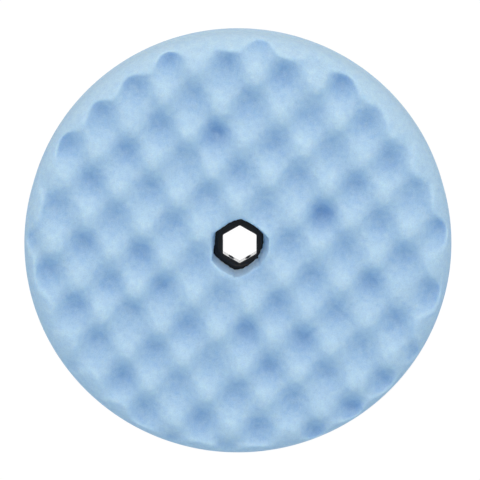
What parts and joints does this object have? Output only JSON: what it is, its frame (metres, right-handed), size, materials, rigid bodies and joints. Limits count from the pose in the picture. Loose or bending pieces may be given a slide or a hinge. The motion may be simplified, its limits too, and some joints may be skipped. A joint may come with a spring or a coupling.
{
  "type": "foam polishing pad",
  "caption": "Double-sided egg-crate foam polishing pad, with a black hexagonal quick-fit drive hub between its foam layers.",
  "frame": {"origin": "middle of the pad: on the spin axis, half way between its two working faces", "axes": "+Z along the spin axis, out of the front face; +X square to one flat of the hexagonal bore"},
  "size_m": [0.2032, 0.2032, 0.05],
  "materials": {
    "foam": "open-cell soft foam, matte",
    "glue": "cured flexible adhesive",
    "hub_plastic": "moulded, satin",
    "plate_plastic": "fibre board, matte",
    "rivet_metal": "bright"
  },
  "bodies": {
    "root": {"front_foam": "foam", "rear_foam": "foam", "front_glue_film": "glue", "rear_glue_film": "glue", "front_hub_half": "hub_plastic", "rear_hub_half": "hub_plastic", "core_plate": "plate_plastic", "hub_rivet_1": "rivet_metal", "hub_rivet_2": "rivet_metal", "hub_rivet_3": "rivet_metal", "hub_rivet_4": "rivet_metal", "hub_rivet_5": "rivet_metal", "hub_rivet_6": "rivet_metal"}
  },
  "joints": []
}
